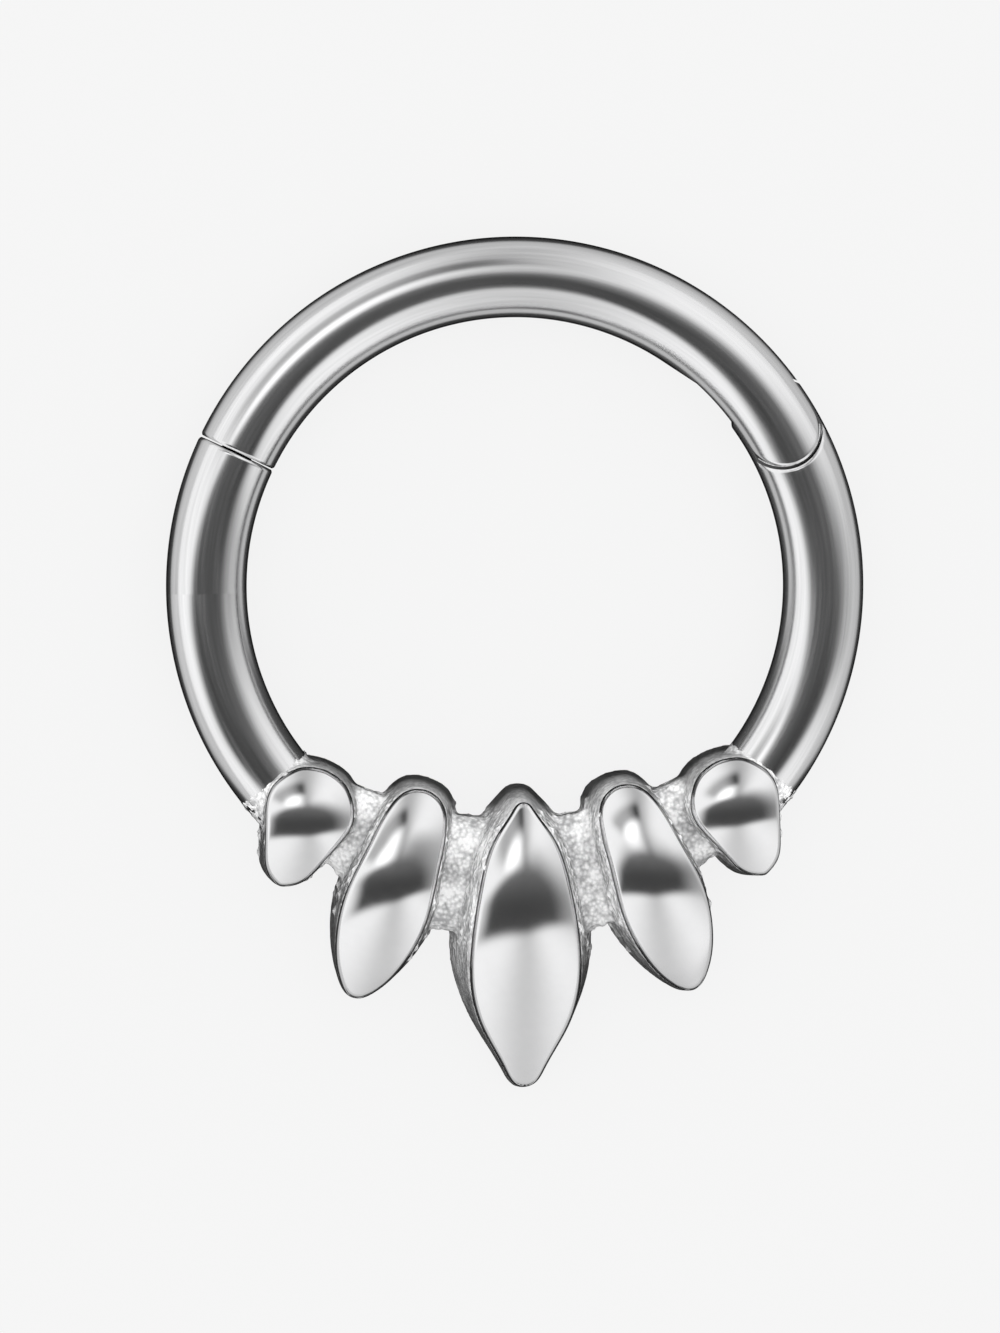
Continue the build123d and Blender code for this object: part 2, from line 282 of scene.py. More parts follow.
class Sheet:
    """Adds nodes to a tree, in rows."""

    PER_ROW, SPACING = 8, 240

    def __init__(self, tree):
        self.nodes, self.link = tree.nodes, tree.links.new
        self.count = 0

    def put(self, value, socket):
        """Links a number or a socket into an input, or sets it to a plain value."""
        value = value.socket if isinstance(value, Number) else value
        if isinstance(value, bpy.types.NodeSocket):
            self.link(value, socket)
        else:
            socket.default_value = value

    def node(self, kind, **values):
        """Adds a node with its properties and, by socket name, its inputs."""
        made = self.nodes.new(kind)
        row, column = divmod(self.count, self.PER_ROW)
        made.location = (self.SPACING * column, -self.SPACING * row)
        self.count += 1
        for key, value in values.items():
            if hasattr(made, key):
                setattr(made, key, value)
            else:
                self.put(value, made.inputs[key.replace("_", " ")])
        return made

    def maths(self, operation, first, second=None):
        """The number that an operation makes of one number or two."""
        made = self.node("ShaderNodeMath", operation=operation)
        self.put(first, made.inputs[0])
        if second is not None:
            self.put(second, made.inputs[1])
        return Number(self, made.outputs[0])

    def place(self):
        """Where a point is on the object."""
        return self.node("ShaderNodeTexCoord").outputs["Object"]

    def split(self, vector):
        """The three numbers of a vector."""
        parts = self.node("ShaderNodeSeparateXYZ")
        self.put(vector, parts.inputs[0])
        return [Number(self, socket) for socket in parts.outputs]

    def noise(self, vector, scale, detail, roughness):
        """Noise of a size, as a number."""
        made = self.node("ShaderNodeTexNoise", Vector=vector, Scale=scale, Detail=detail,
                         Roughness=roughness)
        return Number(self, made.outputs["Fac"])

    def attribute(self, name):
        """A value that a mesh carries at its points."""
        return Number(self, self.node("ShaderNodeAttribute", attribute_name=name).outputs["Fac"])


# Materials

def shader_group(name, inputs, outputs):
    """A shader node group: the group, its sheet, its inputs as numbers and its output sockets."""
    group = bpy.data.node_groups.new(name, "ShaderNodeTree")
    for label, value in inputs.items():
        socket = group.interface.new_socket(label, in_out="INPUT", socket_type="NodeSocketFloat")
        socket.default_value = value
    for label in outputs:
        group.interface.new_socket(label, in_out="OUTPUT", socket_type="NodeSocketFloat")
    sheet = Sheet(group)
    start, end = sheet.node("NodeGroupInput"), sheet.node("NodeGroupOutput")
    return group, sheet, {label: Number(sheet, start.outputs[label]) for label in inputs}, end.inputs


def polish_marks():
    """Faint cloudy marks that a polishing wheel leaves: a mask and a height."""
    group, sheet, given, result = shader_group(
        "polish_marks", {"Size": 900.0, "Contrast": 0.5}, ["Mask", "Height"])
    place = sheet.place()
    wide = sheet.noise(place, given["Size"], detail=3.0, roughness=0.6)
    both = wide + sheet.noise(place, given["Size"] * 9.0, detail=6.0, roughness=0.7)
    sheet.put(both.ramp(0.75, 1.25, kind="LINEAR") * given["Contrast"], result["Mask"])
    sheet.put(both, result["Height"])
    return group


def wire_streaks():
    """Fine streaks that follow the hoop round its axis: a mask and a height."""
    group, sheet, given, result = shader_group(
        "wire_streaks", {"Size": 9000.0, "Stretch": 40.0}, ["Mask", "Height"])
    x, y, z = sheet.split(sheet.place())
    run = sheet.maths("ARCTAN2", y, x) / given["Stretch"] * (HOOP * MM)
    along = sheet.node("ShaderNodeCombineXYZ", X=hypot(x, y), Y=run, Z=z)
    streaks = sheet.noise(along.outputs[0], given["Size"], detail=4.0, roughness=0.6)
    sheet.put(streaks.ramp(0.35, 0.65, kind="LINEAR"), result["Mask"])
    sheet.put(streaks, result["Height"])
    return group


def cast_grain():
    """Granular skin of a casting: a height and a mask of its pits."""
    group, sheet, given, result = shader_group("cast_grain", {"Size": 9000.0}, ["Height", "Pits"])
    place = sheet.place()
    cells = sheet.node("ShaderNodeTexVoronoi", feature="SMOOTH_F1", Vector=place, Scale=given["Size"],
                       Smoothness=0.6)
    height = sheet.noise(place, given["Size"], detail=5.0, roughness=0.65) - cells.outputs["Distance"]
    patches = sheet.noise(place, given["Size"] * 0.16, detail=2.0, roughness=0.5)
    sheet.put(height, result["Height"])
    sheet.put((patches * 1.9 + height).ramp(0.50, 1.30, kind="LINEAR"), result["Pits"])
    return group


POLISH_MARKS = polish_marks()
CAST_GRAIN = cast_grain()
WIRE_STREAKS = wire_streaks()


def steel(name, edge_tint=0.0):
    """A new steel: its material, its sheet and the inputs of its skin."""
    material = bpy.data.materials.new(name)
    material.use_nodes = True
    skin = material.node_tree.nodes["Principled BSDF"]
    skin.inputs["Metallic"].default_value = 1.0
    skin.inputs["Specular Tint"].default_value = (edge_tint, edge_tint, edge_tint, 1.0)
    return material, Sheet(material.node_tree), skin.inputs


def worked_steel(name, dark, light, smooth, dull, marks, size, bump):
    """Steel whose marks run from dark to light and from smooth to dull."""
    material, sheet, skin = steel(name)
    finish = sheet.node("ShaderNodeGroup", node_tree=marks, Size=size)
    mask = Number(sheet, finish.outputs["Mask"])
    tint = sheet.node("ShaderNodeMix", data_type="RGBA", Factor=mask, A=(*dark, 1.0), B=(*light, 1.0))
    relief = sheet.node("ShaderNodeBump", Strength=bump, Distance=MARK_DEPTH, Height=finish.outputs["Height"])
    sheet.put(tint.outputs["Result"], skin["Base Color"])
    sheet.put(mask.ramp(0.0, 1.0, smooth, dull, kind="LINEAR"), skin["Roughness"])
    sheet.put(relief.outputs["Normal"], skin["Normal"])
    return material


def cast_steel():
    """Rough casting with painted shade where it is seen at a slant, and smooth on the seeds' upper ends."""
    material, sheet, skin = steel("cast_steel", edge_tint=CAST_EDGE_TINT)
    marks = sheet.node("ShaderNodeGroup", node_tree=POLISH_MARKS, Size=CAST_MARKS)
    grain = sheet.node("ShaderNodeGroup", node_tree=CAST_GRAIN, Size=CAST_GRAINS)
    tint = sheet.node("ShaderNodeMix", data_type="RGBA", Factor=grain.outputs["Pits"],
                      A=(*CAST_DARK, 1.0), B=(*CAST_LIGHT, 1.0))
    smooth_end = sheet.attribute("smooth_end")
    facing = Number(sheet, sheet.node("ShaderNodeLayerWeight", Blend=0.5).outputs["Facing"])
    # Painted shade: the colour darkens towards the outline, where the casting is seen at a slant
    outline = facing.ramp(*SLANT_SHADE, 1.0, smooth_end.ramp(0.0, 1.0, SLANT_SHADE_TONE, END_SLANT_SHADE_TONE))
    darken = sheet.node("ShaderNodeVectorMath", operation="SCALE", Scale=outline * sheet.attribute("tone"))
    sheet.put(tint.outputs["Result"], darken.inputs[0])
    rough = Number(sheet, marks.outputs["Mask"]).ramp(0.0, 1.0, *CAST_ROUGH, kind="LINEAR")
    relief = sheet.node("ShaderNodeBump", Strength=smooth_end.ramp(0.0, 1.0, CAST_BUMP, END_BUMP),
                        Distance=GRAIN_DEPTH, Height=grain.outputs["Height"])
    sheet.put(darken.outputs["Vector"], skin["Base Color"])
    sheet.put(smooth_end.ramp(0.0, 1.0, rough, END_ROUGH), skin["Roughness"])
    sheet.put(smooth_end.ramp(0.0, 1.0, CAST_BARE, END_BARE), skin["Metallic"])
    sheet.put(relief.outputs["Normal"], skin["Normal"])
    return material


POLISHED = worked_steel("polished_steel", (0.76, 0.76, 0.765), (0.82, 0.82, 0.825), 0.12, 0.18,
                        POLISH_MARKS, 700.0, 0.02)
SATIN = worked_steel("satin_steel", (0.70, 0.70, 0.705), (0.84, 0.84, 0.845), 0.15, 0.24,
                     WIRE_STREAKS, 9000.0, 0.12)
DRAWN = worked_steel("pin_steel", (0.55, 0.55, 0.56), (0.68, 0.68, 0.69), 0.18, 0.30,
                     POLISH_MARKS, 2600.0, 0.05)
CAST = cast_steel()


# Meshes

def mesh_object(name, points, faces):
    """An object from points and faces, in millimetres until it is finished."""
    mesh = bpy.data.meshes.new(name)
    mesh.from_pydata([tuple(p) for p in points], [], [tuple(f) for f in faces])
    mesh.validate()
    return new_object(name, mesh)


def settle(obj):
    """Turns an object with modifiers into a plain mesh object of the same name."""
    found = bpy.context.evaluated_depsgraph_get()
    mesh = bpy.data.meshes.new_from_object(obj.evaluated_get(found))
    name = obj.name
    bpy.data.objects.remove(obj)
    return new_object(name, mesh)


def vectors(obj, kind="co"):
    """An object's points, or its normals, as an array."""
    found = np.empty(len(obj.data.vertices) * 3)
    obj.data.vertices.foreach_get(kind, found)
    return found.reshape(-1, 3)


def set_points(obj, points):
    """Moves an object's points to the places in an array."""
    obj.data.vertices.foreach_set("co", np.asarray(points).ravel())
    obj.data.update()


def set_mask(obj, name, values):
    """Gives an object's points a named value each."""
    obj.data.attributes.new(name, "FLOAT", "POINT").data.foreach_set("value", values)


def face_outward(obj, merge=0.0):
    """Points the faces of a closed mesh outward, after merging points closer than a distance."""
    work = bmesh.new()
    work.from_mesh(obj.data)
    if merge:
        bmesh.ops.remove_doubles(work, verts=work.verts, dist=merge)
    bmesh.ops.recalc_face_normals(work, faces=work.faces)
    work.to_mesh(obj.data)
    work.free()


def finished(obj, material, crease=35.0):
    """Merges doubles, points faces outward, sharpens creases and goes over to metres."""
    face_outward(obj, MERGE)
    mesh = obj.data
    mesh.materials.clear()
    mesh.materials.append(material)
    mesh.polygons.foreach_set("material_index", [0] * len(mesh.polygons))
    mesh.polygons.foreach_set("use_smooth", [True] * len(mesh.polygons))
    mesh.set_sharp_from_angle(angle=math.radians(crease))
    mesh.transform(Matrix.Scale(MM, 4))
    mesh.update()
    return obj


def grid_faces(rows, columns, offset=0, closed=False, flip=False):
    """Quads of rows of points; closed joins the last column to the first."""
    faces = []
    for j in range(rows - 1):
        for i in range(columns if closed else columns - 1):
            k = (i + 1) % columns
            quad = (j * columns + i, j * columns + k, (j + 1) * columns + k, (j + 1) * columns + i)
            faces.append(tuple(offset + n for n in (quad[::-1] if flip else quad)))
    return faces


def band_faces(first, second):
    """Quads between two closed rows of points, given by their numbers."""
    count = len(first)
    return [(first[i], first[(i + 1) % count], second[(i + 1) % count], second[i]) for i in range(count)]


def turned_faces(rows, around):
    """Faces of rows of points round an axis, with both ends closed."""
    count = rows * around
    ends = [tuple(range(around)), tuple(range(count - around, count))]
    return grid_faces(rows, around, closed=True) + ends


def joined(name, parts):
    """One object from several lists of points and faces."""
    points, faces, total = [], [], 0
    for more_points, more_faces in parts:
        points.append(np.asarray(more_points))
        faces += [tuple(total + i for i in face) for face in more_faces]
        total += len(more_points)
    return mesh_object(name, np.concatenate(points), faces)


def prism(outline, low=CUT_LOW, high=CUT_HIGH):
    """Closed upright cutter over an outline in millimetres."""
    count = len(outline)
    points = [(x, y, low) for x, y in outline] + [(x, y, high) for x, y in outline]
    ends = [tuple(range(count))[::-1], tuple(range(count, 2 * count))]
    made = mesh_object("cutter", points, ends + band_faces(range(count), range(count, 2 * count)))
    face_outward(made)
    return made


def cut(obj, cutter):
    """Cuts one closed mesh with another, which is used up."""
    step = obj.modifiers.new("cut", "BOOLEAN")
    step.operation, step.solver, step.object = "DIFFERENCE", "EXACT", cutter
    made = settle(obj)
    bpy.data.objects.remove(cutter)
    return made


# Geometry node trees

def geometry_tree(name, inputs):
    """A geometry nodes tree with named inputs: the tree, its sheet and its inputs' sockets."""
    tree = bpy.data.node_groups.new(name, "GeometryNodeTree")
    for label, kind in (("Geometry", "Geometry"), *inputs, ("Material", "Material")):
        tree.interface.new_socket(label, in_out="INPUT", socket_type="NodeSocket" + kind)
    tree.interface.new_socket("Geometry", in_out="OUTPUT", socket_type="NodeSocketGeometry")
    sheet = Sheet(tree)
    return tree, sheet, sheet.node("NodeGroupInput").outputs


def coated(sheet, geometry, material):
    """Ends a tree: its real geometry gets its material and goes out."""
    coat = sheet.node("GeometryNodeSetMaterial", Geometry=geometry, Material=material)
    sheet.node("NodeGroupOutput", Geometry=coat.outputs["Geometry"])


def set_inputs(step, **values):
    """Sets a geometry nodes modifier's inputs by the labels of its tree."""
    for item in step.node_group.interface.items_tree:
        key = item.name.replace(" ", "_")
        if item.in_out == "INPUT" and key in values:
            step[item.identifier] = values[key]


def wire_sweep_tree():
    """Sweeps a round profile along the object's own curve."""
    tree, sheet, given = geometry_tree("wire_sweep", (("Wire Radius", "Float"), ("Sides", "Int")))
    profile = sheet.node("GeometryNodeCurvePrimitiveCircle", Resolution=given["Sides"],
                         Radius=given["Wire Radius"])
    sweep = sheet.node("GeometryNodeCurveToMesh", Curve=given["Geometry"],
                       Profile_Curve=profile.outputs["Curve"], Fill_Caps=True)
    real = sheet.node("GeometryNodeRealizeInstances", Geometry=sweep.outputs["Mesh"])
    coated(sheet, real.outputs["Geometry"], given["Material"])
    return tree


def cast_beads_tree():
    """Strews small beads over the rough part of a casting."""
    tree, sheet, given = geometry_tree("cast_beads", (
        ("Beads per mm2", "Float"), ("Smallest", "Float"), ("Largest", "Float"), ("Seed", "Int")))
    rough = sheet.node("GeometryNodeInputNamedAttribute", data_type="FLOAT", Name="rough")
    density = sheet.maths("MULTIPLY", rough.outputs["Attribute"], given["Beads per mm2"])
    strew = sheet.node("GeometryNodeDistributePointsOnFaces", Mesh=given["Geometry"], Density=density,
                       Seed=given["Seed"])
    size = sheet.node("FunctionNodeRandomValue", data_type="FLOAT", Seed=given["Seed"])
    sheet.put(given["Smallest"], size.inputs[2])
    sheet.put(given["Largest"], size.inputs[3])
    bead = sheet.node("GeometryNodeMeshIcoSphere", Subdivisions=2, Radius=1.0)
    beads = sheet.node("GeometryNodeInstanceOnPoints", Points=strew.outputs["Points"],
                       Instance=bead.outputs["Mesh"], Scale=size.outputs[1])
    real = sheet.node("GeometryNodeRealizeInstances", Geometry=beads.outputs["Instances"])
    join = sheet.node("GeometryNodeJoinGeometry")
    sheet.put(given["Geometry"], join.inputs["Geometry"])
    sheet.put(real.outputs["Geometry"], join.inputs["Geometry"])
    coated(sheet, join.outputs["Geometry"], given["Material"])
    return tree


WIRE_SWEEP = wire_sweep_tree()
CAST_BEADS = cast_beads_tree()


# Wire, hinge and closure

def hoop_angles(start, end, fine):
    """Angles from start to end, close together inside the fine ranges."""
    angles = [start]
    while angles[-1] < end:
        here = angles[-1]
        near = any(low <= here <= high for low, high in fine)
        step = math.degrees((FINE_ROW if near else ROW) / HOOP)
        ahead = [low for low, high in fine if here < low < here + step]
        if ahead and not near:
            step = min(ahead) - here + 1e-6
        angles.append(min(here + step, end))
    return angles


def hoop_wire(name, start, end, *fine):
    """Closed round wire along the hoop from one angle to another, in millimetres."""
    path = bpy.data.curves.new(name, "CURVE")
    path.dimensions = "3D"
    spline = path.splines.new("POLY")
    angles = hoop_angles(start, end, fine)
    spline.points.add(len(angles) - 1)
    for point, angle in zip(spline.points, angles):
        point.co = (*on_hoop(angle, HOOP), wire_r, 1.0)
    guide = new_object(name, path)
    step = guide.modifiers.new("sweep", "NODES")
    step.node_group = WIRE_SWEEP
    set_inputs(step, Wire_Radius=wire_r, Sides=SIDES, Material=SATIN)
    return settle(guide)


def ease(obj, distance):
    """Rounds the wire down towards a seam; distance gives how far each point is from it."""
    points = vectors(obj)
    away = distance(points)
    across = np.hypot(points[:, 0], points[:, 1])
    middle = np.stack([points[:, 0] / across * HOOP, points[:, 1] / across * HOOP,
                       np.full(len(points), wire_r)], 1)
    out = points - middle
    size = np.linalg.norm(out, axis=1)
    drop = np.where(away < RIM, (RIM - away) ** 2 / (2 * RIM), 0.0)
    on_surface = size > SURFACE * wire_r
    size[size == 0] = 1.0
    set_points(obj, points - out / size[:, None] * np.where(on_surface, drop, 0.0)[:, None])


def seam_circle(radius, cheeks_only=False):
    """Distance from a round seam about the pin, which runs on straight above the pin."""
    def distance(points):
        turn = math.radians(HINGE_AT)
        out = (points[:, 0] - pin_x) * math.cos(turn) + (points[:, 1] - pin_y) * math.sin(turn)
        along = (points[:, 1] - pin_y) * math.cos(turn) - (points[:, 0] - pin_x) * math.sin(turn)
        away = np.where(along < 0, np.abs(np.hypot(out, along) - radius),
                        np.hypot(np.abs(out) - radius, along))
        if cheeks_only:
            away[np.abs(points[:, 2] - wire_r) < TONGUE / 2 + CHEEK_SLACK] = np.inf
        return away
    return distance


def seam_plane(angle):
    """Distance along the hoop from a flat seam at an angle."""
    def distance(points):
        turned = np.degrees(np.arctan2(points[:, 1], points[:, 0])) % 360
        return np.radians(np.abs(turned - angle)) * HOOP
    return distance


def by_pin(a, b):
    """A point a outward and b along the hoop from the pin."""
    turn = math.radians(HINGE_AT)
    return (pin_x + a * math.cos(turn) - b * math.sin(turn),
            pin_y + a * math.sin(turn) + b * math.cos(turn))


def arc_by_pin(radius, start, end, count=96):
    """Points of an arc about the pin."""
    turns = [math.radians(start + (end - start) * i / count) for i in range(count + 1)]
    return [by_pin(radius * math.cos(t), radius * math.sin(t)) for t in turns]


def hole_by_pin(size):
    """Outline of a round hole for the pin."""
    return arc_by_pin(size / 2, 0, 356, 89)


def run_on(way):
    """Corners of a cut that runs on from the pin, up the hoop for 1 and down it for -1."""
    return [by_pin(-CUT_SIDE, 0), by_pin(-CUT_SIDE, way * CUT_PAST),
            by_pin(CUT_SIDE, way * CUT_PAST), by_pin(CUT_SIDE, 0)]


def on_hoop(angle, radius):
    """A point at an angle and a distance from the hoop's axis."""
    return (radius * math.cos(math.radians(angle)), radius * math.sin(math.radians(angle)))


def closure_lathe(name, rows):
    """Closed turned shape in the wire's axis at the closure: rows are (radius, distance)."""
    turn = math.radians(body_end)
    out = Vector((math.cos(turn), math.sin(turn), 0))
    along = Vector((math.sin(turn), -math.cos(turn), 0))
    centre = out * HOOP + Vector((0, 0, wire_r))
    points = []
    for radius, distance in rows:
        for i in range(TURNED_SIDES):
            t = 2 * math.pi * i / TURNED_SIDES
            points.append(centre + along * distance + out * (radius * math.cos(t))
                          + Vector((0, 0, radius * math.sin(t))))
    made = mesh_object(name, points, turned_faces(len(rows), TURNED_SIDES))
    face_outward(made)
    return made


def ball_rows(radius, last):
    """Rows of the stud's ball or its recess, from the top down to an angle."""
    turns = [math.radians(t) for t in range(0, last + 1, BALL_STEP)]
    return [(max(radius * math.sin(t), POLE), radius * math.cos(t) - stud_back) for t in turns]


def segment_wire():
    """Upper wire with a fork about the pin and a recess for the stud."""
    low, high = wire_r - SLOT / 2, wire_r + SLOT / 2
    slot_end = [(pin_x, pin_y), by_pin(0, SLOT_REACH), on_hoop(KNEE_AT, bore_r + KNEE_DEPTH),
                on_hoop(RUNOUT_AT, bore_r), on_hoop(RUNOUT_AT, CUT_BORE), on_hoop(HINGE_AT, CUT_BORE)]
    made = hoop_wire("segment_wire", SEGMENT_START, segment_end,
                     FINE_FORK, (segment_end - FINE_CLOSURE, segment_end))
    ease(made, seam_circle(FORK_EYE))
    ease(made, seam_plane(segment_end))
    for cutter in (prism(arc_by_pin(FORK_EYE, 0, -180) + run_on(-1)),
                   prism(arc_by_pin(SLOT_REACH, 0, 358, 190), low, high),
                   prism(slot_end, low, high),
                   prism(hole_by_pin(FORK_HOLE), high=WIRE - PIN_COVER),
                   closure_lathe("recess", ball_rows(stud_sphere + STUD_CLEARANCE, 180))):
        made = cut(made, cutter)
    return finished(made, SATIN)


def hinge_side_wire():
    """Body's wire on the hinge side: a tongue for the pin between two seats for the fork."""
    tongue_low, tongue_high = wire_r - TONGUE / 2, wire_r + TONGUE / 2
    seat = arc_by_pin(SEAT, 0, -180) + run_on(1)
    made = hoop_wire("body_wire_hinge", WIRE_END, HINGE_SIDE_END, FINE_SEAT)
    ease(made, seam_circle(SEAT, cheeks_only=True))
    for cutter in (prism(seat, low=tongue_high),
                   prism(seat, high=tongue_low),
                   prism(arc_by_pin(TONGUE_REACH, 0, 180) + run_on(1), tongue_low - CUT_OVER,
                         tongue_high + CUT_OVER),
                   prism(hole_by_pin(TONGUE_HOLE))):
        made = cut(made, cutter)
    return finished(made, SATIN)


def closure_side_wire():
    """Body's wire on the closure side, with a socket for the stud's root."""
    socket_r = STUD / 2 + SOCKET_CLEARANCE
    made = hoop_wire("body_wire_closure", body_end, 180 - WIRE_END, (body_end, body_end + FINE_CLOSURE))
    ease(made, seam_plane(body_end))
    socket = closure_lathe("socket", [(socket_r, SOCKET_MOUTH), (socket_r, -STUD_ROOT - SOCKET_CLEARANCE)])
    return finished(cut(made, socket), SATIN)


def click_stud():
    """Domed peg let into the body's end at the closure."""
    root = [(STUD / 2, 0.0), (STUD / 2, STUD_CHAMFER - STUD_ROOT), (STUD / 2 - STUD_CHAMFER, -STUD_ROOT)]
    return finished(closure_lathe("stud", ball_rows(stud_sphere, STUD_LAST) + root), DRAWN)


def hinge_pin():
    """Upright pin whose lower end follows the back of the wire."""
    points = []
    for rows, lower in ((PIN_LOWER_END, True), (PIN_UPPER_END, False)):
        for share, back in rows:
            for i in range(TURNED_SIDES):
                t = 2 * math.pi * i / TURNED_SIDES
                x, y = pin_x + pin_r * share * math.cos(t), pin_y + pin_r * share * math.sin(t)
                wire_back = wire_r - math.sqrt(wire_r**2 - (math.hypot(x, y) - HOOP)**2)
                points.append((x, y, wire_back + back if lower else PIN_TOP - back))
    rows = len(PIN_LOWER_END) + len(PIN_UPPER_END)
    return finished(mesh_object("pin", points, turned_faces(rows, TURNED_SIDES)), DRAWN)


# Seeds

def smooth_curve(knots, values, ends=None):
    """A function without kinks through values at knots, with its slopes at both ends."""
    k, v = np.asarray(knots, float), np.asarray(values, float)
    h = np.diff(k)
    wide = h[:, None] if v.ndim > 1 else h
    slope = np.diff(v, axis=0) / wide
    system, right = np.eye(len(k)), np.zeros_like(v)
    right[0], right[-1] = ends or (slope[0], slope[-1])
    for i in range(1, len(k) - 1):
        system[i, i - 1:i + 2] = h[i], 2 * (h[i - 1] + h[i]), h[i - 1]
        right[i] = 3 * (h[i] * slope[i - 1] + h[i - 1] * slope[i])
    slopes = np.linalg.solve(system, right)

    def at(x):
        x = np.asarray(x, float)
        i = np.clip(np.searchsorted(k, x, side="right") - 1, 0, len(k) - 2)
        t, step = (x - k[i]) / h[i], h[i]
        if v.ndim > 1:
            t, step = t[..., None], step[..., None]
        return (v[i] * (1 + 2 * t) * (1 - t) ** 2 + slopes[i] * step * t * (1 - t) ** 2
                + v[i + 1] * t * t * (3 - 2 * t) - slopes[i + 1] * step * t * t * (1 - t))
    return at


def right_outline(half_width, length, shares):
    """Right half of a seed's outline from its upper end to its tip, as a function of 0 to 1."""
    points = np.array([(0, 0)] + [(half_width * w, -length * a) for a, w in shares] + [(0, -length)])
    knots = np.concatenate([[0], np.cumsum(np.linalg.norm(np.diff(points, axis=0), axis=1))])
    pull = END_PULL * length
    run = smooth_curve(knots, points, ((pull, 0), (-pull, 0)))
    return lambda u: run(np.asarray(u) * knots[-1])


class SeedShape:
    """Outlines and crown of one seed, its upper end at 0, 0 and its tip on -Y; side 1 is right."""

    def __init__(self, kind, side):
        seed, rows = SEEDS[kind], STATIONS[kind]
        self.seed, self.side, self.shift = seed, side, side * seed.shift
        self.foot = right_outline(seed.foot_half, seed.length, [(a, f) for a, e, f in rows])
        edge = right_outline(seed.edge_half, seed.length - seed.setback - seed.lip,
                             [(a, e) for a, e, f in rows])
        self.edge = lambda u: edge(u) + np.array([0, -seed.setback])
        along, heights, spreads = zip(*CRESTS[kind])
        self.crest, self.spread = smooth_curve(along, heights), smooth_curve(along, spreads)
        self.top = EDGE_ABOVE * seed.height

    def crown(self, x, y):
        """Height of the polished crown."""
        share = -y / self.seed.length
        lens = LENS * self.seed.edge_half * self.spread(share)
        return (self.crest(share) * self.seed.height
                - lens + np.sqrt(np.maximum(lens**2 - (x - self.shift) ** 2, LEAST)))

    def flank(self, u, z):
        """Point on the right flank at a height, counted from the middle at that height."""
        low, high = self.foot(u), self.edge(u)
        return low + (high - low) * (np.asarray(z) / self.top)[..., None]

    def middle(self, z):
        """How far the middle of the flanks has leaned over at a height."""
        return self.shift * z / self.top

    def rim(self, u):
        """Where the right flank meets the crown: its points and their heights."""
        z = np.full(np.shape(u), 0.5 * self.seed.height)
        for _ in range(RIM_STEPS):
            at = self.flank(u, z)
            z = 0.5 * z + 0.5 * self.crown(at[:, 0] + self.shift, at[:, 1])
        return self.flank(u, z), z

    def flank_ring(self, u, z, inset=0.0):
        """Closed row of points down the right flank and up the left one, drawn in by inset."""
        at = self.flank(np.concatenate([u, u[::-1]]), z)
        pull = at - np.array([0.0, -0.5 * self.seed.length])
        at = at - pull / np.maximum(np.linalg.norm(pull, axis=1), 1e-6)[:, None] * inset
        sign = np.repeat([1.0, -1.0], len(u))
        return np.stack([at[:, 0] * sign + self.middle(z), at[:, 1], z], 1)

    def placed(self, points):
        """Points in this seed's own frame, moved to its place."""
        turn = math.radians(self.seed.lean) * self.side
        x = points[:, 0] * math.cos(turn) - points[:, 1] * math.sin(turn) + self.side * self.seed.top_x
        y = points[:, 0] * math.sin(turn) + points[:, 1] * math.cos(turn) + self.seed.top_y
        return np.stack([x, y, points[:, 2]], 1)


def crown_points(shape, lower=0.0, inset=0.0, rounding=CROWN_RIM):
    """Rows of points over a crown, lowered and inset if it lies under another skin."""
    u = np.linspace(0.0, 1.0, CROWN_ROWS + 1)
    at, height = shape.rim(u)
    across = np.sin(np.linspace(-np.pi / 2, np.pi / 2, CROWN_COLUMNS + 1))
    half = np.maximum(at[:, 0] - inset, 0.0)
    middle = shape.middle(height)
    x = half[:, None] * across[None, :] + middle[:, None]
    y = np.repeat(at[:, 1][:, None], CROWN_COLUMNS + 1, axis=1)
    z = shape.crown(x, y) - lower
    border = np.concatenate([np.stack([middle + way * at[:, 0], at[:, 1]], 1) for way in (1, -1)])
    flat = np.stack([x.ravel(), y.ravel()], 1)
    away = np.sqrt(((flat[:, None, :] - border[None, :, :]) ** 2).sum(-1)).min(1).reshape(x.shape)
    z -= rounding - np.sqrt(rounding**2 - np.maximum(rounding - away, 0.0) ** 2)
    return np.stack([x, y, z], -1), u, height


def rim_numbers(rows, columns):
    """Numbers of a grid's points down its last column and back up its first."""
    return [(j + 1) * columns - 1 for j in range(rows)] + [j * columns for j in reversed(range(rows))]


def add_rings(points, faces, previous, rings):
    """Joins closed rows of points one below another to a first row, and returns the last."""
    for ring in rings:
        total = sum(len(more) for more in points)
        numbers = range(total, total + len(ring))
        points.append(ring)
        faces += band_faces(previous, numbers)
        previous = numbers
    return previous


def crown_shell(kind, side):
    """Polished crown with a rounded rim and a skirt that tucks into the cast flank."""
    shape = SeedShape(kind, side)
    top, u, height = crown_points(shape)
    rows, columns = top.shape[:2]
    points, faces = [top.reshape(-1, 3)], grid_faces(rows, columns, flip=True)
    rim_height = np.concatenate([height, height[::-1]]) - CROWN_RIM
    add_rings(points, faces, rim_numbers(rows, columns),
              [shape.flank_ring(u, rim_height - depth, inset) for depth, inset in SKIRT])
    return shape.placed(np.concatenate(points)), faces


def web_edge(x, middle, radius):
    """Height along Y of an edge of the web: an arc that is lowest in the middle."""
    return middle + radius - np.sqrt(radius**2 - np.minimum(np.abs(x), WEB_ARC_REACH) ** 2)


def web_upper(x):
    """Upper edge of the web."""
    return web_edge(x, WEB_UPPER_MIDDLE, WEB_UPPER_RADIUS)


def web_lower(x):
    """Lower edge of the web."""
    return web_edge(x, WEB_LOWER_MIDDLE, WEB_LOWER_RADIUS)


